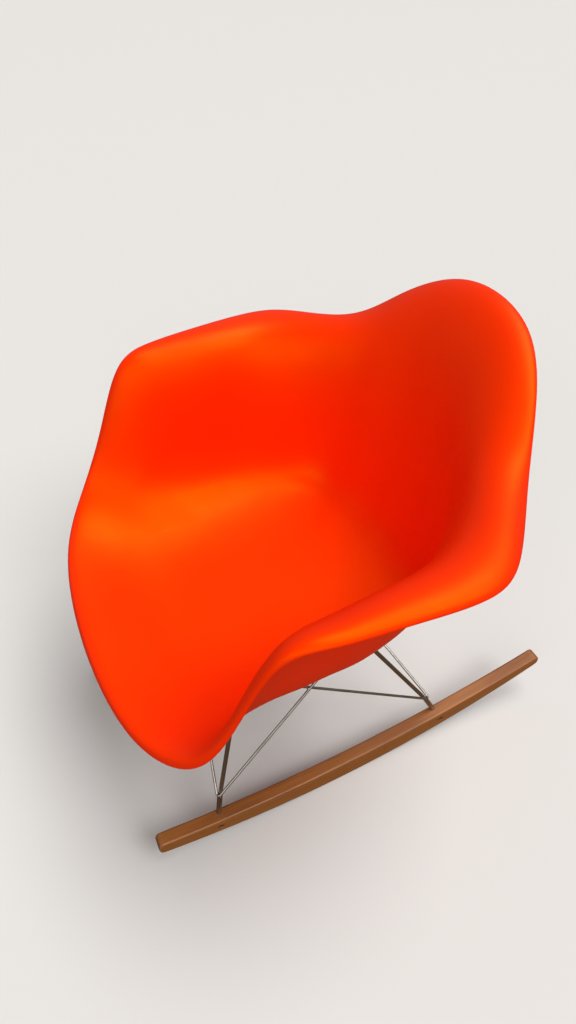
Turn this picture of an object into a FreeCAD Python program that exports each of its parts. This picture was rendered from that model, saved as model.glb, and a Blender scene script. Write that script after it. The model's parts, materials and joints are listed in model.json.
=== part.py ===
import FreeCAD, Part
import math
import os

# Moulded plastic rocking chair. Millimetres, +Z up, origin on the floor below the middle of the rockers.
# The chair faces -Y. Left and right are the sitter's: left is +X.

# Skin of the seat shell
wall = 5.0
seatHeight = 312.0
seatCentre = -30.0
seatDiscRadius = 30.0
# Profile between the seat's middle and the wall, and at the rim: each is a share of the way
flatShare = 0.35
dishShare = 0.72
dishRise = 0.12
sideShare = 0.44
lipReach = 0.85
lipDrop = 0.25
# Half outline of the shell from the front centre round to the back centre, measured from the seat's
# middle. Each station gives four points of the profile there: the foot, where seat turns into wall;
# the fold, where the wall begins to roll outwards; the crest of the roll; and the rim, the outermost
# edge.
stations = {
    "front centre": ((0, -189, 4), (0, -258, 26), (0, -298, 36), (0, -311, 18)),
    "front side": ((124, -184, 13), (142, -243, 29), (157, -281, 43), (161, -292, 25)),
    "front corner": ((190, -157, 42), (216, -196, 60), (240, -228, 79), (249, -240, 56)),
    "arm rise": ((211, -121, 58), (234, -154, 130), (252, -175, 166), (270, -186, 139)),
    "arm corner": ((217, -83, 56), (239, -113, 215), (262, -129, 250), (280, -136, 234)),
    "arm front": ((215, -42, 50), (236, -64, 233), (270, -73, 267), (296, -79, 255)),
    "arm middle": ((211, 0, 40), (233, 2, 236), (268, 2, 268), (306, 0, 253)),
    "arm rear": ((199, 51, 32), (223, 65, 231), (258, 80, 268), (311, 90, 249)),
    "arm back": ((181, 101, 24), (184, 125, 227), (221, 140, 273), (279, 150, 251)),
    "shoulder": ((144, 138, 16), (134, 170, 236), (159, 191, 285), (206, 215, 264)),
    "back side": ((94, 151, 15), (93, 196, 266), (120, 238, 328), (143, 264, 317)),
    "back corner": ((46, 160, 15), (50, 220, 300), (66, 272, 368), (77, 298, 359)),
    "back centre": ((0, 162, 15), (0, 227, 310), (0, 282, 381), (0, 307, 374)),
}

# Mounting stack under the seat, from the bosses down to the plates. bossDrop is measured from the top
# of the seat's middle, and the spots from the middle itself.
bossRadius = 15.0
rubberRadius = 18.0
rubberThickness = 10.0
plateRadius = 20.0
plateThickness = 3.0
bossDrop = 9.0
mountSpots = {"front": (128.0, -132.0), "rear": (142.0, 36.0)}

# Seat screws, their washers and the inserts that they turn into
screwDiameter = 6.0
screwClearance = 0.5
screwHeadRadius = 5.0
screwHeadHeight = 4.0
hexSocketAcross = 4.0
hexSocketDepth = 2.4
washerRadius = 7.0
washerThickness = 1.5
springWasherRadius = 5.3
springWasherThickness = 1.6
springWasherSplit = 1.2
insertRadius = 4.5
insertLength = 9.0

# Rockers
rockerWidth = 21.0
rockerSpacing = 376.0
rockerHeight = 43.0
rockerLength = 690.0
rockerContact = -25.0
rockerBottomRadius = 1068.0
rockerTopRadius = 1547.0
rockerEdgeRound = 3.0
rockerEndRound = 9.0

# Legs, brace wires and foot pins
legDiameter = 6.5
braceDiameter = 4.0
braceBend = 4.0
weldSink = 0.4
weldRadius = 3.4
pinDiameter = 8.0
pinClearance = 0.1
pinDepth = 26.0
pinInset = 5.0
footInset = {"front": 99.0, "rear": 204.0}
pinReach = {"front": (-7.0, 9.0, 37.1), "rear": (-5.0, -15.0, 35.1)}
legWeldOffset = 13.0
braceWeldOffset = 12.0

# Screws that cross the rockers into the foot pins
crossScrewDepth = 18.0
crossScrewDiameter = 5.0
crossHeadRadius = 4.25
crossHeadHeight = 5.0
crossRecessRadius = 5.0
crossRecessDepth = 6.5
crossScrewEnd = 5.5
crossSocketAcross = 4.0

# Sampling of the skin: rings from the seat's middle to the rim, and columns round it
ringCount = 30
columnsPerStation = 2

# Raw stock that is trimmed off: rods run past the plates, boss posts run up through the skin
rodOverrun = 12.0
bossOverrun = 40.0
trimSpan = 900.0
# Rounds in which touching wires are moved until they settle
settlingRounds = 6

vector = FreeCAD.Vector
up = vector(0, 0, 1)
sides = {"left": 1, "right": -1}
seatMiddle = vector(0, seatCentre, seatHeight)


def cylinder(radius, start, end):
    axis = end - start
    return Part.makeCylinder(radius, axis.Length, start, axis)


def tube(outerRadius, innerRadius, base, height):
    outer = Part.makeCylinder(outerRadius, height, base)
    return outer.cut(Part.makeCylinder(innerRadius, height, base))


def hexPrism(across, base, axis, depth):
    """Hexagonal prism for a screw's socket."""
    corner = across / math.sqrt(3)
    points = [vector(corner * math.cos(math.radians(60 * i)), corner * math.sin(math.radians(60 * i)), 0)
              for i in range(7)]
    prism = Part.Face(Part.makePolygon(points)).extrude(up * depth)
    prism.Placement = FreeCAD.Placement(base, FreeCAD.Rotation(up, axis))
    return prism


def mirrored(shape):
    return shape.mirror(vector(0, 0, 0), vector(1, 0, 0))


def across(point):
    return vector(-point.x, point.y, point.z)


# Seat shell

def profilePoles(station):
    """Control points of one profile, from the flat disc in the seat's middle out to the rim."""
    foot, fold, crest, rim = [seatMiddle + vector(*point) for point in station]
    reach = vector(foot.x - seatMiddle.x, foot.y - seatMiddle.y, 0)
    away = reach / reach.Length
    run = reach.Length - seatDiscRadius
    rise = vector(0, 0, foot.z - seatMiddle.z)
    start = seatMiddle + away * seatDiscRadius
    flat = start + away * run * flatShare
    dish = start + away * run * dishShare + rise * dishRise
    side = foot + (fold - foot) * sideShare
    drop = rim - crest
    lip = crest + vector(drop.x * lipReach, drop.y * lipReach, drop.z * lipDrop)
    turn = (rim - lip) / (rim - lip).Length
    edge = rim - turn * wall / 2
    return [start, flat, dish, foot, side, fold, crest, lip, edge]


def clampedKnots(poleCount, degree=3):
    """Evenly spaced knots from 0 to 1 and their multiplicities."""
    spans = poleCount - degree
    knots = [i / spans for i in range(spans + 1)]
    mults = [degree + 1] + [1] * (spans - 1) + [degree + 1]
    return knots, mults


def closedCurve(points):
    curve = Part.BSplineCurve()
    curve.interpolate(Points=points, PeriodicFlag=True, Parameters=[float(i) for i in range(len(points) + 1)])
    return curve


def surfaceFromRings(rings, knots, mults, degree=3):
    """Surface whose rows are the poles of closed curves and whose columns have the given knots."""
    model = closedCurve(rings[0])
    poles = [closedCurve(ring).getPoles() for ring in rings]
    surface = Part.BSplineSurface()
    surface.buildFromPolesMultsKnots(poles, mults, model.getMultiplicities(), knots, model.getKnots(),
                                     False, True, degree, 3)
    return surface


def surfaceThrough(rings, parameters):
    """Smooth surface that passes through every point of the closed rings."""
    columns = []
    for column in zip(*rings):
        curve = Part.BSplineCurve()
        curve.interpolate(Points=list(column), Parameters=parameters)
        columns.append(curve)
    rows = list(zip(*[curve.getPoles() for curve in columns]))
    return surfaceFromRings([list(row) for row in rows], columns[0].getKnots(),
                            columns[0].getMultiplicities(), columns[0].Degree)


def skin():
    """The shell without its bosses: upper face, rounded rim and lower face one wall apart."""
    half = [profilePoles(station) for station in stations.values()]
    other = [[across(pole) for pole in poles] for poles in half[-2:0:-1]]
    profiles = half + other
    knots, mults = clampedKnots(len(profiles[0]))
    upper = surfaceFromRings([list(ring) for ring in zip(*profiles)], knots, mults)

    columnCount = len(profiles) * columnsPerStation
    heights = [i / (ringCount - 1) for i in range(ringCount)]
    turns = [i / columnsPerStation for i in range(columnCount)]
    down = -1 if upper.normal(0.0, 0.0).z > 0 else 1
    topRings = [[upper.value(u, v) for v in turns] for u in heights]
    lowRings = [[upper.value(u, v) + upper.normal(u, v) * wall * down for v in turns] for u in heights]

    # The rim is a half circle between the two faces
    rimRings = []
    for step in range(5):
        angle = math.pi * step / 4
        ring = []
        for top, low, near in zip(topRings[-1], lowRings[-1], topRings[-2]):
            normal = (top - low) / wall
            outward = top - near
            outward = outward - normal * outward.dot(normal)
            outward = outward / outward.Length
            middle = (top + low) / 2
            ring.append(middle + (normal * math.cos(angle) + outward * math.sin(angle)) * wall / 2)
        rimRings.append(ring)

    faces = [surfaceThrough(topRings, heights).toShape(),
             surfaceThrough(rimRings, [step / 4 for step in range(5)]).toShape(),
             surfaceThrough(lowRings, heights).toShape()]
    for ring in (topRings[0], lowRings[0]):
        faces.append(Part.Face(Part.Wire(closedCurve(ring).toShape())))
    shell = Part.Shell(faces)
    shell.sewShape()
    return Part.Solid(shell)


def mountPoint(end, side, height):
    x, y = mountSpots[end]
    return vector(x * sides[side], seatCentre + y, height)


bossUnderside = seatHeight - bossDrop
plateTop = bossUnderside - rubberThickness
plateUnderside = plateTop - plateThickness


def seatShell():
    """The skin with a boss at each mount, bored for its insert."""
    shell = skin()
    for end in mountSpots:
        for side in sides:
            base = mountPoint(end, side, bossUnderside)
            post = cylinder(bossRadius, base, base + up * (bossDrop + bossOverrun))
            below = min(post.cut(shell).Solids, key=lambda solid: solid.CenterOfMass.z)
            shell = shell.fuse(below)
    for end in mountSpots:
        for side in sides:
            base = mountPoint(end, side, bossUnderside)
            shell = shell.cut(cylinder(insertRadius, base, base + up * insertLength))
    return shell


# Mounting stack

def rubberMount(end, side):
    return tube(rubberRadius, screwDiameter / 2 + screwClearance, mountPoint(end, side, plateTop), rubberThickness)


def mountingPlate(end, side):
    base = mountPoint(end, side, plateUnderside)
    return tube(plateRadius, screwDiameter / 2 + screwClearance, base, plateThickness)


def threadedInsert(end, side):
    return tube(insertRadius, screwDiameter / 2, mountPoint(end, side, bossUnderside), insertLength)


def seatWasher(end, side):
    base = mountPoint(end, side, plateUnderside - washerThickness)
    return tube(washerRadius, screwDiameter / 2 + screwClearance, base, washerThickness)


def springWasher(end, side):
    base = mountPoint(end, side, plateUnderside - washerThickness - springWasherThickness)
    ring = tube(springWasherRadius, screwDiameter / 2 + screwClearance / 2, base, springWasherThickness)
    split = Part.makeBox(springWasherRadius * 2, springWasherSplit, springWasherThickness,
                         base - vector(0, springWasherSplit / 2, 0))
    return ring.cut(split)


def seatScrew(end, side):
    head = mountPoint(end, side, plateUnderside - washerThickness - springWasherThickness)
    tip = mountPoint(end, side, bossUnderside + insertLength)
    bottom = head - up * screwHeadHeight
    screw = cylinder(screwHeadRadius, bottom, head).fuse(cylinder(screwDiameter / 2, head, tip))
    return screw.cut(hexPrism(hexSocketAcross, bottom, up, hexSocketDepth))


# Rockers and foot pins, worked out for the left side and mirrored for the right

rockerX = rockerSpacing / 2
rockerInner = rockerX - rockerWidth / 2
rockerOuter = rockerX + rockerWidth / 2


def rockerBottom(y):
    return rockerBottomRadius - math.sqrt(rockerBottomRadius ** 2 - (y - rockerContact) ** 2)


def rockerTop(y):
    return rockerHeight + rockerTopRadius - math.sqrt(rockerTopRadius ** 2 - (y - rockerContact) ** 2)


feet = {"front": footInset["front"] - rockerLength / 2, "rear": rockerLength / 2 - footInset["rear"]}


def pinEntry(end):
    return vector(rockerX - pinInset, feet[end], rockerTop(feet[end]))


def pinAxis(end):
    axis = vector(*pinReach[end])
    return axis / axis.Length


def pinFoot(end):
    return pinEntry(end) - pinAxis(end) * pinDepth


def crossPoint(end):
    return pinEntry(end) - pinAxis(end) * crossScrewDepth


def crossScrew(end):
    """Socket head screw from the rocker's outer face through the foot pin."""
    centre = crossPoint(end)
    seat = vector(rockerOuter - crossRecessDepth, centre.y, centre.z)
    tip = vector(centre.x - crossScrewEnd, centre.y, centre.z)
    crown = seat + vector(crossHeadHeight, 0, 0)
    screw = cylinder(crossHeadRadius, seat, crown).fuse(cylinder(crossScrewDiameter / 2, tip, seat))
    return screw.cut(hexPrism(crossSocketAcross, crown, vector(-1, 0, 0), crossHeadHeight / 2))


def rocker():
    """One curved runner, drilled for its two foot pins and their cross screws."""
    def outlinePoint(y, height):
        return vector(rockerInner, y, height(y))

    corners = [outlinePoint(-rockerLength / 2, rockerBottom), outlinePoint(rockerLength / 2, rockerBottom),
               outlinePoint(rockerLength / 2, rockerTop), outlinePoint(-rockerLength / 2, rockerTop)]
    outline = Part.Wire([
        Part.Arc(corners[0], outlinePoint(rockerContact, rockerBottom), corners[1]).toShape(),
        Part.makeLine(corners[1], corners[2]),
        Part.Arc(corners[2], outlinePoint(rockerContact, rockerTop), corners[3]).toShape(),
        Part.makeLine(corners[3], corners[0])])
    runner = Part.Face(outline).extrude(vector(rockerWidth, 0, 0))
    endEdges = [edge for edge in runner.Edges if edge.BoundBox.XLength > rockerWidth - 1]
    endDepth = min((corners[3] - corners[0]).Length, (corners[2] - corners[1]).Length)
    runner = runner.makeFillet(min(rockerEndRound, endDepth * 0.45), endEdges)
    longEdges = [edge for edge in runner.Edges if edge.BoundBox.XLength < 1]
    runner = runner.makeFillet(rockerEdgeRound, longEdges)
    for end in feet:
        entry, axis = pinEntry(end), pinAxis(end)
        runner = runner.cut(cylinder(pinDiameter / 2 + pinClearance, pinFoot(end), entry + axis * pinDepth))
        centre = crossPoint(end)
        tip = vector(centre.x - crossScrewEnd, centre.y, centre.z)
        mouth = vector(rockerOuter + 1, centre.y, centre.z)
        floor = vector(rockerOuter - crossRecessDepth, centre.y, centre.z)
        runner = runner.cut(cylinder(crossScrewDiameter / 2, tip, mouth))
        runner = runner.cut(cylinder(crossRecessRadius, floor, mouth))
    return runner


def footPin(end):
    """Round pin from inside the rocker up to the leg, bored for the cross screw."""
    pin = cylinder(pinDiameter / 2, pinFoot(end), junction(end, "left"))
    centre = crossPoint(end)
    reach = vector(pinDiameter, 0, 0)
    return pin.cut(cylinder(crossScrewDiameter / 2, centre - reach, centre + reach))


# Legs and brace wires

def weldPoint(end, side, origin, offset):
    """Place on a plate's underside where a rod that comes from origin is welded."""
    centre = mountPoint(end, side, plateUnderside)
    away = vector(origin.x - centre.x, origin.y - centre.y, 0)
    return centre + away / away.Length * offset


def junction(end, side):
    top = pinEntry(end) + vector(*pinReach[end])
    return vector(top.x * sides[side], top.y, top.z)


def belowPlates():
    return Part.makeBox(trimSpan, trimSpan, plateUnderside, vector(-trimSpan / 2, -trimSpan / 2, 0))


def legLine(end, side):
    start = junction(end, side)
    return start, weldPoint(end, side, start, legWeldOffset)


def leg(end, side, pin):
    start, top = legLine(end, side)
    along = (top - start) / (top - start).Length
    rod = cylinder(legDiameter / 2, start - along * legDiameter / 2, top + along * rodOverrun)
    return rod.common(belowPlates()).cut(pin)


def otherEnd(end):
    return "rear" if end == "front" else "front"


def otherSide(side):
    return "right" if side == "left" else "left"


def strandTargets():
    """Where the two strands of each brace wire meet the plates.

    Strands cross in pairs, one pair on each side of the base, one in front and one behind. The
    upper end of each strand is moved so that the two wires of a pair touch at their crossing.
    """
    targets = {}
    for end in feet:
        for side in sides:
            start = junction(end, side)
            targets[end, side, "along"] = weldPoint(otherEnd(end), side, start, braceWeldOffset)
            targets[end, side, "over"] = weldPoint(end, otherSide(side), start, braceWeldOffset)
    pairs = [(("front", side, "along"), ("rear", side, "along")) for side in sides]
    pairs += [((end, "left", "over"), (end, "right", "over")) for end in feet]
    crossings = []
    for first, second in pairs:
        for attempt in range(settlingRounds):
            one, two = apex(first, targets), apex(second, targets)
            lineOne, lineTwo = targets[first] - one, targets[second] - two
            normal = lineOne.cross(lineTwo)
            normal = normal / normal.Length
            if normal.dot(vector(one.x + two.x, one.y + two.y - 2 * seatCentre, 0)) < 0:
                normal = normal * -1
            span = two - one
            gap = span.dot(normal)
            shift = (braceDiameter - weldSink + gap) * normal
            targets[first] = targets[first] + shift
            targets[second] = targets[second] - shift
        shareOne = span.cross(lineTwo).dot(lineOne.cross(lineTwo)) / lineOne.cross(lineTwo).Length ** 2
        crossings.append(one + lineOne * shareOne - normal * (braceDiameter - weldSink) / 2)
    return targets, crossings


def apex(key, targets):
    """Point where the two straight strands of one brace wire would meet, just outside the leg."""
    end, side = key[0], key[1]
    start, top = legLine(end, side)
    legAxis = (top - start) / (top - start).Length
    corner = start
    for attempt in range(settlingRounds):
        strands = [targets[end, side, way] - corner for way in ("along", "over")]
        strands = [strand / strand.Length for strand in strands]
        normal = strands[0].cross(strands[1])
        if normal.z < 0:
            normal = normal * -1
        outward = normal - legAxis * normal.dot(legAxis)
        outward = outward / outward.Length
        bisector = strands[0] + strands[1]
        halfAngle = strands[0].getAngle(strands[1]) / 2
        touch = start + legAxis * braceDiameter + outward * (legDiameter / 2 + braceDiameter / 2 - weldSink)
        corner = touch - bisector / bisector.Length * braceBend * (1 / math.sin(halfAngle) - 1)
    return corner


def braceWire(end, side, targets, rods):
    """Thin wire bent to a V round the outside of its leg, with both ends under the plates."""
    corner = apex((end, side), targets)
    tops = [targets[end, side, way] for way in ("along", "over")]
    strands = [(top - corner) / (top - corner).Length for top in tops]
    tops = [top + strand * rodOverrun for top, strand in zip(tops, strands)]
    halfAngle = strands[0].getAngle(strands[1]) / 2
    straight = braceBend / math.tan(halfAngle)
    starts = [corner + strand * straight for strand in strands]
    bisector = strands[0] + strands[1]
    middle = corner + bisector / bisector.Length * braceBend * (1 / math.sin(halfAngle) - 1)
    path = Part.Wire([Part.makeLine(tops[0], starts[0]), Part.Arc(starts[0], middle, starts[1]).toShape(),
                      Part.makeLine(starts[1], tops[1])])
    ring = Part.Wire(Part.makeCircle(braceDiameter / 2, tops[0], strands[0]))
    wire = path.makePipeShell([ring], True, False).common(belowPlates())
    for rod in rods:
        wire = wire.cut(rod)
    return wire


def build():
    """Every node by name, each a single solid or a group of like solids."""
    places = [(end, side) for end in feet for side in sides]
    nodes = {"seat_shell": seatShell(), "rocker_left": rocker(), "rocker_right": mirrored(rocker())}
    pins, legs, braces = {}, {}, {}
    for end, side in places:
        pin = footPin(end)
        pins[end, side] = pin if side == "left" else mirrored(pin)
        legs[end, side] = leg(end, side, pins[end, side])
    targets, crossings = strandTargets()
    for end, side in places:
        rods = [legs[end, side], pins[end, side]] + list(braces.values())
        braces[end, side] = braceWire(end, side, targets, rods)
    for end, side in places:
        place = end + "_" + side
        nodes["foot_pin_" + place] = pins[end, side]
        nodes["leg_" + place] = legs[end, side]
        nodes["brace_wire_" + place] = braces[end, side]
        nodes["mounting_plate_" + place] = mountingPlate(end, side)
        nodes["rubber_mount_" + place] = rubberMount(end, side)
    groups = {"threaded_inserts": threadedInsert, "seat_screws": seatScrew,
              "seat_washers": seatWasher, "spring_washers": springWasher}
    for name, make in groups.items():
        nodes[name] = Part.Compound([make(end, side) for end, side in places])
    screws = [crossScrew(end) for end in feet]
    nodes["rocker_screws"] = Part.Compound(screws + [mirrored(screw) for screw in screws])
    rods = list(legs.values()) + list(braces.values())
    beads = []
    for crossing in crossings:
        bead = Part.makeSphere(weldRadius, crossing)
        for rod in rods:
            if rod.BoundBox.isInside(crossing):
                bead = bead.cut(rod)
        beads.append(bead)
    nodes["crossing_welds"] = Part.Compound(beads)
    return nodes


def main():
    os.makedirs("parts", exist_ok=True)
    for name, shape in build().items():
        shape.exportStep("parts/" + name + ".step")
        print(name, "solids", len(shape.Solids), "valid", shape.isValid(), "volume", round(shape.Volume))


main()
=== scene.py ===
import bpy, bmesh, json, math
import numpy as np
from mathutils import Matrix, Vector
from mathutils.bvhtree import BVHTree


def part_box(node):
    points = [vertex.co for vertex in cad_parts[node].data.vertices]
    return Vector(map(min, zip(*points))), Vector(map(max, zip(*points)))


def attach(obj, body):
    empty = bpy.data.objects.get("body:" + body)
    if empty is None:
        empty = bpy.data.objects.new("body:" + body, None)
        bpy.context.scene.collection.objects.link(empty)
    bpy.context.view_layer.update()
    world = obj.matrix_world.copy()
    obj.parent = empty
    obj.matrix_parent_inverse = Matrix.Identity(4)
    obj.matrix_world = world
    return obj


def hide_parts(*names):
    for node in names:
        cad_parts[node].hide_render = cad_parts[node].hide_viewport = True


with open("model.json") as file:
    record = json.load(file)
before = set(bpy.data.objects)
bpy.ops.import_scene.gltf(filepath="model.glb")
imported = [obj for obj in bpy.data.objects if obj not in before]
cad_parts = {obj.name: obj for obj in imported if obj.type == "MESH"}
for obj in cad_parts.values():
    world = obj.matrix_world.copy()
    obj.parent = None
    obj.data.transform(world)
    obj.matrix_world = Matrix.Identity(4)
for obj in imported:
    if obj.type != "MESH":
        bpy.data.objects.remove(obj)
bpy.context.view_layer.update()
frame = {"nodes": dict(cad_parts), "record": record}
mm = 0.001
places = [end + "_" + side for end in ("front", "rear") for side in ("left", "right")]
print("frame loaded:", len(frame["nodes"]), "nodes")


# Colours are written as they look on screen, 0 to 255
def screenColour(red, green, blue):
    linear = []
    for value in (red / 255, green / 255, blue / 255):
        linear.append(value / 12.92 if value < 0.04045 else ((value + 0.055) / 1.055) ** 2.4)
    return (*linear, 1.0)


# Shader helpers: a value given to them is a number, a colour or another node's socket

def connect(tree, socket, value):
    if isinstance(value, bpy.types.NodeSocket):
        tree.links.new(value, socket)
    else:
        socket.default_value = value


def addNode(tree, kind, settings=None, **values):
    node = tree.nodes.new("ShaderNode" + kind)
    for name, value in (settings or {}).items():
        setattr(node, name, value)
    for name, value in values.items():
        connect(tree, node.inputs[name.replace("_", " ")], value)
    return node


def maths(tree, operation, first, second=0.5):
    node = addNode(tree, "Math", {"operation": operation})
    connect(tree, node.inputs[0], first)
    connect(tree, node.inputs[1], second)
    return node.outputs[0]


def spread(tree, value, fromMin, fromMax, toMin=0.0, toMax=1.0):
    node = addNode(tree, "MapRange", {"clamp": True, "interpolation_type": "SMOOTHSTEP"})
    for name, given in (("Value", value), ("From Min", fromMin), ("From Max", fromMax),
                        ("To Min", toMin), ("To Max", toMax)):
        connect(tree, node.inputs[name], given)
    return node.outputs["Result"]


def mixColour(tree, factor, first, second):
    node = addNode(tree, "Mix", {"data_type": "RGBA"})
    for index, given in ((0, factor), (6, first), (7, second)):
        connect(tree, node.inputs[index], given)
    return node.outputs[2]


def newGroup(name, inputs, outputs):
    group = bpy.data.node_groups.new(name, "ShaderNodeTree")
    for label, kind, value in inputs:
        socket = group.interface.new_socket(name=label, in_out="INPUT", socket_type="NodeSocket" + kind)
        socket.default_value = value
    for label, kind in outputs:
        group.interface.new_socket(name=label, in_out="OUTPUT", socket_type="NodeSocket" + kind)
    return group, group.nodes.new("NodeGroupInput").outputs, group.nodes.new("NodeGroupOutput").inputs


def useGroup(tree, group, **values):
    node = addNode(tree, "Group", {"node_tree": group})
    for name, value in values.items():
        connect(tree, node.inputs[name.replace("_", " ")], value)
    return node.outputs


def newMaterial(name):
    material = bpy.data.materials.new(name)
    material.use_nodes = True
    return material, material.node_tree, material.node_tree.nodes["Principled BSDF"]


def setBump(tree, shader, height, distance, strength=1.0):
    bump = addNode(tree, "Bump", Height=height, Distance=distance, Strength=strength)
    tree.links.new(bump.outputs["Normal"], shader.inputs["Normal"])


# Shared effects

def makeFineGrain():
    group, given, result = newGroup(
        "fineGrain",
        [("Grain", "Float", 0.8), ("Patch", "Float", 70.0)],
        [("Height", "Float"), ("Patches", "Float")])
    place = addNode(group, "TexCoord").outputs["Object"]
    grainScale = maths(group, "DIVIDE", 1000.0, given["Grain"])
    patchScale = maths(group, "DIVIDE", 1000.0, given["Patch"])
    grain = addNode(group, "TexNoise", Vector=place, Scale=grainScale, Detail=2.0, Roughness=0.6)
    patch = addNode(group, "TexNoise", Vector=place, Scale=patchScale, Detail=3.0, Roughness=0.55)
    connect(group, result["Height"], grain.outputs["Fac"])
    connect(group, result["Patches"], patch.outputs["Fac"])
    return group


def makeRubMarks():
    # fine scratches in two directions, as masks from 0 to 1
    group, given, result = newGroup(
        "rubMarks",
        [("Density", "Float", 40.0), ("Coverage", "Float", 0.1)],
        [("Marks", "Float")])
    place = addNode(group, "TexCoord").outputs["Object"]
    total = None
    for turn in (0.5, 2.2):
        mapping = addNode(group, "Mapping", Vector=place, Rotation=(turn, 0.4, turn), Scale=(1.0, 0.06, 1.0))
        lines = addNode(group, "TexNoise", Vector=mapping.outputs["Vector"], Scale=given["Density"],
                        Detail=4.0, Roughness=0.7)
        edge = maths(group, "SUBTRACT", 0.72, maths(group, "MULTIPLY", given["Coverage"], 0.6))
        mark = spread(group, lines.outputs["Fac"], edge, maths(group, "ADD", edge, 0.03))
        total = mark if total is None else maths(group, "MAXIMUM", total, mark)
    connect(group, result["Marks"], total)
    return group


fineGrain = makeFineGrain()
rubMarks = makeRubMarks()


# Seat shell: the same stations and profile as its solid, with a finer mesh

shell = {
    "wall": 5.0, "middle": (0.0, -30.0, 312.0), "discRadius": 30.0,
    "flatShare": 0.35, "dishShare": 0.72, "dishRise": 0.12, "sideShare": 0.44, "lipShare": (0.85, 0.85, 0.25),
    "columns": 10, "rows": 96, "rimSteps": 8, "discRings": 3,
    "bossRadius": 15.0, "bossRound": 1.2, "bossSearch": 20.0, "sharpEdge": 35.0,
    "boreRadius": 4.5, "boreDepth": 9.0, "boreChamfer": 0.3,
    "bossFillet": ((0.0, -1.6), (0.3, -0.8), (0.9, -0.2), (1.8, 0.5)),  # out from the post, up from the skin
}
# half stations from the front centre round to the back centre: foot, fold, crest and rim of the profile
shellStations = [
    ((0, -189, 4), (0, -258, 26), (0, -298, 36), (0, -311, 18)),
    ((124, -184, 13), (142, -243, 29), (157, -281, 43), (161, -292, 25)),
    ((190, -157, 42), (216, -196, 60), (240, -228, 79), (249, -240, 56)),
    ((211, -121, 58), (234, -154, 130), (252, -175, 166), (270, -186, 139)),
    ((217, -83, 56), (239, -113, 215), (262, -129, 250), (280, -136, 234)),
    ((215, -42, 50), (236, -64, 233), (270, -73, 267), (296, -79, 255)),
    ((211, 0, 40), (233, 2, 236), (268, 2, 268), (306, 0, 253)),
    ((199, 51, 32), (223, 65, 231), (258, 80, 268), (311, 90, 249)),
    ((181, 101, 24), (184, 125, 227), (221, 140, 273), (279, 150, 251)),
    ((144, 138, 16), (134, 170, 236), (159, 191, 285), (206, 215, 264)),
    ((94, 151, 15), (93, 196, 266), (120, 238, 328), (143, 264, 317)),
    ((46, 160, 15), (50, 220, 300), (66, 272, 368), (77, 298, 359)),
    ((0, 162, 15), (0, 227, 310), (0, 282, 381), (0, 307, 374)),
]


def profilePoles(station):
    middle = np.array(shell["middle"])
    foot, fold, crest, rim = [middle + np.array(point, float) for point in station]
    reach = np.array((foot[0] - middle[0], foot[1] - middle[1], 0.0))
    length = np.linalg.norm(reach)
    run = length - shell["discRadius"]
    rise = np.array((0.0, 0.0, foot[2] - middle[2]))
    start = middle + reach / length * shell["discRadius"]
    flat = start + reach / length * run * shell["flatShare"]
    dish = start + reach / length * run * shell["dishShare"] + rise * shell["dishRise"]
    side = foot + (fold - foot) * shell["sideShare"]
    lip = crest + (rim - crest) * np.array(shell["lipShare"])
    edge = rim - (rim - lip) / np.linalg.norm(rim - lip) * shell["wall"] / 2
    return np.array([start, flat, dish, foot, side, fold, crest, lip, edge])


def closedSplines(points, steps):
    # points[station, pole]: smooth closed curves through each pole's stations
    count = len(points)
    system = np.zeros((count, count))
    for i in range(count):
        system[i, (i - 1) % count] = system[i, (i + 1) % count] = 1 / 6
        system[i, i] = 4 / 6
    control = np.linalg.solve(system, points.reshape(count, -1)).reshape(points.shape)
    columns = []
    for i in range(count):
        for step in range(steps):
            t = step / steps
            weights = ((1 - t) ** 3, 3 * t ** 3 - 6 * t ** 2 + 4, -3 * t ** 3 + 3 * t ** 2 + 3 * t + 1, t ** 3)
            columns.append(sum(weight * control[(i + k - 1) % count] for k, weight in enumerate(weights)) / 6)
    return np.array(columns)


def clampedWeights(u, poleCount, degree=3):
    spans = poleCount - degree
    knots = [0.0] * degree + [i / spans for i in range(spans + 1)] + [1.0] * degree
    u = min(max(u, 0.0), 1 - 1e-9)
    weights = [1.0 if knots[i] <= u < knots[i + 1] else 0.0 for i in range(len(knots) - 1)]
    for d in range(1, degree + 1):
        raised = []
        for i in range(len(weights) - 1):
            left, right = knots[i + d] - knots[i], knots[i + d + 1] - knots[i + 1]
            value = (u - knots[i]) / left * weights[i] if left > 0 else 0.0
            if right > 0:
                value += (knots[i + d + 1] - u) / right * weights[i + 1]
            raised.append(value)
        weights = raised
    return np.array(weights)


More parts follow.
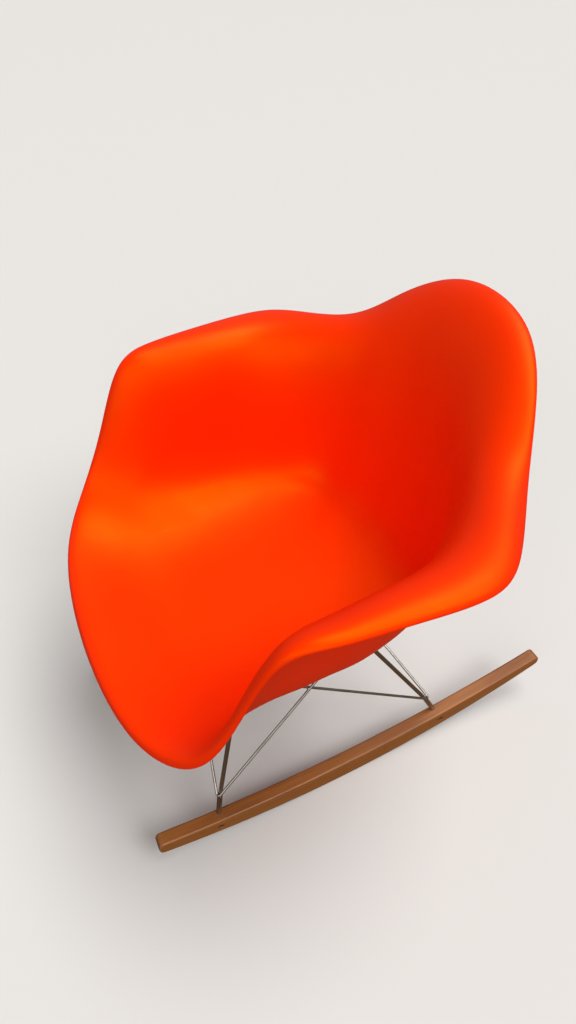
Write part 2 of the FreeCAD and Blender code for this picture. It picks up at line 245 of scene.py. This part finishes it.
def shellRings():
    # closed rings of points from the seat's middle over the top, round the rim and back underneath
    half = [profilePoles(station) for station in shellStations]
    other = [poles * np.array((-1.0, 1.0, 1.0)) for poles in half[-2:0:-1]]
    columns = closedSplines(np.array(half + other), shell["columns"])

    def surface(u):
        return np.einsum("i,vik->vk", clampedWeights(u, 9), columns)

    wall, rings, lower = shell["wall"], [], []
    for u in np.linspace(0.0, 1.0, shell["rows"]):
        points = surface(u)
        onward = surface(u + 1e-3) - surface(u - 1e-3) if 0 < u < 1 else \
            (surface(1e-3) - points if u == 0 else points - surface(1 - 1e-3))
        around = np.roll(points, -1, axis=0) - np.roll(points, 1, axis=0)
        normal = np.cross(onward, around)
        normal /= np.linalg.norm(normal, axis=1, keepdims=True)
        rings.append((points, points - normal * wall))
    top, below = rings[-1]
    near = rings[-2][0]
    normal = (top - below) / wall
    outward = top - near
    outward -= normal * np.sum(outward * normal, axis=1, keepdims=True)
    outward /= np.linalg.norm(outward, axis=1, keepdims=True)
    middle = (top + below) / 2
    rim = []
    for step in range(1, shell["rimSteps"]):
        angle = math.pi * step / shell["rimSteps"]
        rim.append(middle + (normal * math.cos(angle) + outward * math.sin(angle)) * wall / 2)

    def discRings(ring, height):
        centre = np.array((shell["middle"][0], shell["middle"][1], height))
        count = shell["discRings"]
        return [centre + (ring - centre) * (k / count) for k in range(1, count)], centre

    topDisc, topCentre = discRings(rings[0][0], shell["middle"][2])
    lowDisc, lowCentre = discRings(rings[0][1], shell["middle"][2] - wall)
    ordered = topDisc + [ring[0] for ring in rings] + rim + [ring[1] for ring in rings[::-1]] + lowDisc[::-1]
    return ordered, topCentre, lowCentre


def meshFromRings(name, rings, first=None, last=None, loop=False):
    # skins closed rings one after the other, with a point at either end if given, or back to the first ring
    count = len(rings[0])
    points = [tuple(point) for ring in rings for point in ring]
    faces = []
    for r in range(len(rings) if loop else len(rings) - 1):
        onward = (r + 1) % len(rings)
        for c in range(count):
            d = (c + 1) % count
            faces.append((r * count + c, r * count + d, onward * count + d, onward * count + c))
    for tip, ring, flip in ((first, 0, False), (last, len(rings) - 1, True)):
        if tip is None:
            continue
        points.append(tuple(tip))
        for c in range(count):
            corner = (len(points) - 1, ring * count + (c + 1) % count, ring * count + c)
            faces.append(corner[::-1] if flip else corner)
    mesh = bpy.data.meshes.new(name)
    mesh.from_pydata([tuple(v * mm for v in point) for point in points], [], faces)
    mesh.validate()
    solid = bmesh.new()
    solid.from_mesh(mesh)
    bmesh.ops.recalc_face_normals(solid, faces=solid.faces)
    solid.to_mesh(mesh)
    solid.free()
    return mesh


def smoothAll(mesh):
    for polygon in mesh.polygons:
        polygon.use_smooth = True


def addPiece(name, mesh, node):
    piece = bpy.data.objects.new(name, mesh)
    bpy.context.scene.collection.objects.link(piece)
    smoothAll(mesh)
    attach(piece, "root")
    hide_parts(node)
    return piece


def turned(profile, steps=48, centre=(0.0, 0.0)):
    # rings of a turned shape from (radius, height) pairs
    rings = []
    for radius, height in profile:
        rings.append([(centre[0] + radius * math.cos(2 * math.pi * i / steps),
                       centre[1] + radius * math.sin(2 * math.pi * i / steps), height) for i in range(steps)])
    return rings


def seatOf(node):
    # middle, radius, underside and top of an upright round piece, in millimetres
    low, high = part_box(node)
    middle = ((low[0] + high[0]) / 2 / mm, (low[1] + high[1]) / 2 / mm)
    return middle, (high[0] - low[0]) / 2 / mm, low[2] / mm, high[2] / mm


def bossPost(skin, place):
    # closed post that ends inside the skin: flat underside, rounded edge, small fillet at its root
    (x, y), mountRadius, mountFloor, under = seatOf("rubber_mount_" + place)
    radius, rounding = shell["bossRadius"], shell["bossRound"]

    def skinHeight(px, py):
        return skin.ray_cast(Vector((px, py, under - shell["bossSearch"])) * mm, Vector((0, 0, 1)))[0].z / mm

    profile = []
    for angle in (0, 30, 60, 90):
        a = math.radians(angle)
        profile.append((radius - rounding * (1 - math.sin(a)), under + rounding * (1 - math.cos(a))))
    rings = turned(profile, centre=(x, y))
    for out, lift in shell["bossFillet"]:
        circle = turned([(radius + out, 0)], centre=(x, y))[0]
        rings.append([(px, py, skinHeight(px, py) + lift) for px, py, pz in circle])
    post = meshFromRings("boss", rings, (x, y, under), (x, y, skinHeight(x, y) + shell["wall"] / 2))

    bore, depth, chamfer = shell["boreRadius"], shell["boreDepth"], shell["boreChamfer"]
    rings = turned([(bore + chamfer + 1, under - 1), (bore + chamfer, under), (bore, under + chamfer),
                    (bore, under + depth)], centre=(x, y))
    return post, meshFromRings("bore", rings, (x, y, under - 1), (x, y, under + depth))


def combine(piece, meshes, operation):
    # joins or cuts away other closed meshes, and keeps the result as the piece's own mesh
    for mesh in meshes:
        other = bpy.data.objects.new(mesh.name, mesh)
        bpy.context.scene.collection.objects.link(other)
        change = piece.modifiers.new(operation, "BOOLEAN")
        change.operation, change.solver, change.object = operation, "EXACT", other
        bpy.context.view_layer.update()
        result = bpy.data.meshes.new_from_object(piece.evaluated_get(bpy.context.evaluated_depsgraph_get()))
        piece.modifiers.clear()
        piece.data = result
        bpy.data.objects.remove(other)


def buildShell():
    rings, topCentre, lowCentre = shellRings()
    mesh = meshFromRings("seatShell", rings, topCentre, lowCentre)
    piece = addPiece("seatShell", mesh, "seat_shell")
    skin = BVHTree.FromPolygons([vertex.co for vertex in piece.data.vertices],
                                [list(polygon.vertices) for polygon in piece.data.polygons])
    posts, bores = zip(*[bossPost(skin, place) for place in places])
    combine(piece, posts, "UNION")
    combine(piece, bores, "DIFFERENCE")
    smoothAll(piece.data)
    piece.data.set_sharp_from_angle(angle=math.radians(shell["sharpEdge"]))
    return piece


seatShell = buildShell()
print("seat shell:", len(seatShell.data.vertices), "points")


# Rubber mounts and mounting plates: the same rings as their solids, with rounded edges

ringSettings = {
    "rubber_mount": {"bore": 3.5, "rounding": 1.5, "slot": "rubber"},
    "mounting_plate": {"bore": 3.5, "rounding": 0.7, "slot": "plate_steel"},
}


def roundedRing(kind, place):
    given, node = ringSettings[kind], kind + "_" + place
    middle, radius, floor, top = seatOf(node)
    rounding = given["rounding"]
    profile = [(given["bore"], top), (given["bore"], floor)]
    for height, start in ((floor + rounding, -90), (top - rounding, 0)):
        for angle in range(start, start + 91, 30):
            a = math.radians(angle)
            profile.append((radius - rounding + rounding * math.cos(a), height + rounding * math.sin(a)))
    words = node.split("_")
    name = words[0] + "".join(word.title() for word in words[1:])
    mesh = meshFromRings(name, turned(profile, centre=middle), loop=True)
    piece = addPiece(name, mesh, node)
    mesh.set_sharp_from_angle(angle=math.radians(40))
    return piece


roundedPieces = {kind: [roundedRing(kind, place) for place in places] for kind in ringSettings}
print("rounded rings:", sum(len(pieces) for pieces in roundedPieces.values()))


# Materials

plasticSettings = {
    "colour": (255, 38, 0), "deep": (254, 34, 0), "sheen": (255, 205, 0), "sheenLevel": 0.8,
    "roughness": (0.42, 0.50), "grain": 0.7, "patch": 90.0, "relief": 0.00012, "reliefStrength": 0.5,
    "markDensity": 55.0, "markCoverage": 0.12, "markPolish": 0.08,
}


def shellPlastic():
    material, tree, shader = newMaterial("orangePolypropylene")
    given = plasticSettings
    grain = useGroup(tree, fineGrain, Grain=given["grain"], Patch=given["patch"])
    marks = useGroup(tree, rubMarks, Density=given["markDensity"], Coverage=given["markCoverage"])["Marks"]
    colour = mixColour(tree, spread(tree, grain["Patches"], 0.3, 0.7), screenColour(*given["colour"]),
                       screenColour(*given["deep"]))
    connect(tree, shader.inputs["Base Color"], colour)
    low, high = given["roughness"]
    gloss = spread(tree, grain["Patches"], 0.25, 0.75, low, high)
    polish = maths(tree, "MULTIPLY", marks, given["markPolish"])
    connect(tree, shader.inputs["Roughness"], maths(tree, "SUBTRACT", gloss, polish))
    shader.inputs["Specular IOR Level"].default_value = given["sheenLevel"]
    shader.inputs["Specular Tint"].default_value = screenColour(*given["sheen"])
    setBump(tree, shader, grain["Height"], given["relief"], given["reliefStrength"])
    return material


seatShell.data.materials.append(shellPlastic())


woodSettings = {
    "light": (164, 100, 43), "dark": (134, 77, 31), "pore": (98, 56, 26), "end": (80, 46, 24), "bare": (154, 116, 80),
    "poreShare": 0.45, "endShare": 0.8, "bareShare": 0.35,
    "roughness": (0.38, 0.5), "bareRoughness": 0.3, "coat": 0.25, "coatRoughness": 0.3,
    "bend": 1300.0, "contact": -25.0, "wornHeight": 3.5,
    "ringScale": 42.0, "ringDistortion": 7.0, "streakScale": 420.0, "poreScale": 900.0,
    "streakStretch": 0.045, "poreStretch": 0.16, "relief": 0.00015, "reliefStrength": 0.35,
}


def rockerWood():
    material, tree, shader = newMaterial("lacqueredBeech")
    given = woodSettings
    place = addNode(tree, "TexCoord").outputs["Object"]
    axis = addNode(tree, "SeparateXYZ", Vector=place).outputs
    # straighten the grain: height above the runner's curve, metres
    along = maths(tree, "SUBTRACT", axis["Y"], given["contact"] * mm)
    lift = maths(tree, "DIVIDE", maths(tree, "MULTIPLY", along, along), 2 * given["bend"] * mm)
    height = maths(tree, "SUBTRACT", axis["Z"], lift)
    straight = addNode(tree, "CombineXYZ", X=axis["X"], Y=along, Z=height).outputs[0]
    long = addNode(tree, "Mapping", Vector=straight, Scale=(1.0, given["streakStretch"], 1.0)).outputs[0]
    rings = addNode(tree, "TexWave", {"bands_direction": "Z", "wave_profile": "SIN"}, Vector=long,
                    Scale=given["ringScale"], Distortion=given["ringDistortion"], Detail=3.0, Detail_Scale=1.2)
    streaks = addNode(tree, "TexNoise", Vector=long, Scale=given["streakScale"], Detail=5.0, Roughness=0.65)
    fleckPlace = addNode(tree, "Mapping", Vector=straight, Scale=(1.0, given["poreStretch"], 1.0)).outputs[0]
    flecks = addNode(tree, "TexVoronoi", {"feature": "F1"}, Vector=fleckPlace, Scale=given["poreScale"],
                     Randomness=1.0)
    pores = spread(tree, flecks.outputs["Distance"], 0.10, 0.22, 1.0, 0.0)
    tone = maths(tree, "ADD", maths(tree, "MULTIPLY", rings.outputs["Fac"], 0.3),
                 maths(tree, "MULTIPLY", streaks.outputs["Fac"], 0.8))
    colour = mixColour(tree, spread(tree, tone, 0.3, 0.9), screenColour(*given["light"]),
                       screenColour(*given["dark"]))
    # end grain, darker where the runner is cut across
    facing = addNode(tree, "SeparateXYZ", Vector=addNode(tree, "NewGeometry").outputs["Normal"]).outputs["Y"]
    cut = spread(tree, maths(tree, "ABSOLUTE", facing), 0.55, 0.95)
    # lacquer rubbed off where the runner meets the floor
    worn = spread(tree, height, 0.0, given["wornHeight"] * mm, 1.0, 0.0)
    for mask, kind in ((pores, "pore"), (cut, "end"), (worn, "bare")):
        share = maths(tree, "MULTIPLY", mask, given[kind + "Share"])
        colour = mixColour(tree, share, colour, screenColour(*given[kind]))
    connect(tree, shader.inputs["Base Color"], colour)
    low, high = given["roughness"]
    gloss = spread(tree, streaks.outputs["Fac"], 0.3, 0.7, low, high)
    rough = maths(tree, "ADD", gloss, maths(tree, "MULTIPLY", worn, given["bareRoughness"]))
    connect(tree, shader.inputs["Roughness"], rough)
    shader.inputs["Coat Weight"].default_value = given["coat"]
    shader.inputs["Coat Roughness"].default_value = given["coatRoughness"]
    relief = maths(tree, "SUBTRACT", streaks.outputs["Fac"], pores)
    setBump(tree, shader, relief, given["relief"], given["reliefStrength"])
    return material


metalSettings = {
    "wire_steel": {"name": "brightWire", "colour": (172, 164, 156), "roughness": (0.17, 0.24),
                   "streak": (0.3, 0.3, 0.3), "relief": 0.08},
    "plate_steel": {"name": "platedPlate", "colour": (176, 176, 176), "roughness": (0.26, 0.42),
                    "streak": (0.2, 1.0, 1.0), "relief": 0.4},
    "screw_steel": {"name": "zincScrew", "colour": (150, 150, 152), "roughness": (0.28, 0.45),
                    "streak": (1.0, 1.0, 1.0), "relief": 0.4},
    "brass": {"name": "plainBrass", "colour": (190, 150, 90), "roughness": (0.25, 0.4),
              "streak": (1.0, 1.0, 1.0), "relief": 0.4},
}


def metal(given):
    material, tree, shader = newMaterial(given["name"])
    fine = useGroup(tree, fineGrain, Grain=0.5, Patch=25.0)
    place = addNode(tree, "TexCoord").outputs["Object"]
    drawn = addNode(tree, "Mapping", Vector=place, Scale=given["streak"]).outputs[0]
    lines = addNode(tree, "TexNoise", Vector=drawn, Scale=900.0, Detail=3.0, Roughness=0.6).outputs["Fac"]
    bright = screenColour(*given["colour"])
    dull = tuple(channel * 0.78 for channel in bright[:3]) + (1.0,)
    tint = spread(tree, fine["Patches"], 0.42, 0.72)
    connect(tree, shader.inputs["Base Color"], mixColour(tree, tint, bright, dull))
    shader.inputs["Metallic"].default_value = 1.0
    low, high = given["roughness"]
    halfLines = maths(tree, "MULTIPLY", lines, 0.5)
    halfPatches = maths(tree, "MULTIPLY", fine["Patches"], 0.5)
    worn = maths(tree, "ADD", halfLines, halfPatches)
    connect(tree, shader.inputs["Roughness"], spread(tree, worn, 0.3, 0.7, low, high))
    setBump(tree, shader, lines, 0.00003, given["relief"])
    return material


rubberSettings = {"colour": (26, 26, 27), "dusty": (52, 50, 49), "roughness": (0.6, 0.8), "grain": 1.2, "patch": 12.0}


def rubberBlack():
    material, tree, shader = newMaterial("blackRubber")
    given = rubberSettings
    fine = useGroup(tree, fineGrain, Grain=given["grain"], Patch=given["patch"])
    dust = spread(tree, fine["Patches"], 0.35, 0.75)
    colour = mixColour(tree, dust, screenColour(*given["colour"]), screenColour(*given["dusty"]))
    connect(tree, shader.inputs["Base Color"], colour)
    low, high = given["roughness"]
    connect(tree, shader.inputs["Roughness"], spread(tree, fine["Patches"], 0.3, 0.7, low, high))
    setBump(tree, shader, fine["Height"], 0.0002, 0.4)
    return material


finishes = {"rocker_wood": rockerWood()}
for slot, given in metalSettings.items():
    finishes[slot] = metal(given)
finishes["rubber"] = rubberBlack()
slotOf = {row["node"]: row["material_slot"] for row in frame["record"]["subparts"]}
for name, piece in frame["nodes"].items():
    if slotOf[name] in finishes:
        piece.data.materials.clear()
        piece.data.materials.append(finishes[slotOf[name]])
for kind, pieces in roundedPieces.items():
    for piece in pieces:
        piece.data.materials.append(finishes[ringSettings[kind]["slot"]])
print("materials:", len(bpy.data.materials))


# Floor, light and camera

studio = {
    "floorSize": 60.0, "floorDrop": 0.2, "floorColour": (222, 219, 215), "floorBounce": (106, 84, 62),
    "roomLight": 0.26, "roomSeen": 0.95,
    "keyPower": 1.0, "keySoftness": 26.0, "keyFrom": (0.6, 0.36, 0.85),
    "topPower": 1.6, "topSoftness": 34.0, "topFrom": (0.0, 0.34, 0.95),
    "fillPower": 1.5, "fillSoftness": 80.0, "fillFrom": (1.0, -0.75, 0.35),
}


def buildStudio():
    mesh = bpy.data.meshes.new("floor")
    reach = studio["floorSize"] / 2
    corners = [(-reach, -reach, 0), (reach, -reach, 0), (reach, reach, 0), (-reach, reach, 0)]
    mesh.from_pydata(corners, [], [(0, 1, 2, 3)])
    floor = bpy.data.objects.new("floor", mesh)
    bpy.context.scene.collection.objects.link(floor)
    floor.location.z = -studio["floorDrop"] * mm
    material, tree, shader = newMaterial("paleFloor")
    # pale to the eye, but darker to the light that it throws back at the chair
    seen = addNode(tree, "LightPath").outputs["Is Camera Ray"]
    connect(tree, shader.inputs["Base Color"], mixColour(tree, seen, screenColour(*studio["floorBounce"]),
                                                         screenColour(*studio["floorColour"])))
    shader.inputs["Roughness"].default_value = 0.75
    shader.inputs["Specular IOR Level"].default_value = 0.2
    mesh.materials.append(material)

    world = bpy.data.worlds.new("studio")
    bpy.context.scene.world = world
    world.use_nodes = True
    tree = world.node_tree
    tree.nodes.clear()
    rays = addNode(tree, "LightPath").outputs
    strength = spread(tree, rays["Is Camera Ray"], 0.0, 1.0, studio["roomLight"], studio["roomSeen"])
    sky = addNode(tree, "Background", Color=(1.0, 1.0, 1.0, 1.0), Strength=strength)
    output = addNode(tree, "OutputWorld")
    tree.links.new(sky.outputs[0], output.inputs["Surface"])

    for lampName in ("key", "top", "fill"):
        lamp = bpy.data.lights.new(lampName, "SUN")
        lamp.energy = studio[lampName + "Power"]
        lamp.angle = math.radians(studio[lampName + "Softness"])
        holder = bpy.data.objects.new(lampName, lamp)
        holder.location = Vector(studio[lampName + "From"]) * 2
        holder.rotation_euler = Vector(studio[lampName + "From"]).to_track_quat("Z", "Y").to_euler()
        bpy.context.scene.collection.objects.link(holder)


# placed from the photograph: where it stood, which way it looked, and its lens
view = {"place": (606.3, -289.6, 1124.7), "azimuth": 66.42, "elevation": 45.97, "roll": -3.06,
        "focalPixels": 689.23, "pictureHeight": 1024, "sensor": 36.0}


def buildCamera():
    azimuth, elevation, roll = [math.radians(view[key]) for key in ("azimuth", "elevation", "roll")]
    back = Vector((math.sin(azimuth) * math.cos(elevation), -math.cos(azimuth) * math.cos(elevation),
                   math.sin(elevation)))
    right = Vector((math.cos(azimuth), math.sin(azimuth), 0.0))
    above = back.cross(right)
    turnedRight = right * math.cos(roll) + above * math.sin(roll)
    turnedAbove = above * math.cos(roll) - right * math.sin(roll)
    data = bpy.data.cameras.new("camera")
    data.sensor_width = view["sensor"]
    data.lens = view["focalPixels"] * view["sensor"] / view["pictureHeight"]
    data.clip_start, data.clip_end = 0.01, 200.0
    camera = bpy.data.objects.new("camera", data)
    rotation = Matrix((turnedRight, turnedAbove, back)).transposed()
    camera.matrix_world = Matrix.Translation(Vector(view["place"]) * mm) @ rotation.to_4x4()
    bpy.context.scene.collection.objects.link(camera)
    bpy.context.scene.camera = camera


buildStudio()
buildCamera()
bpy.context.scene.view_settings.view_transform = "Standard"
print("studio ready")
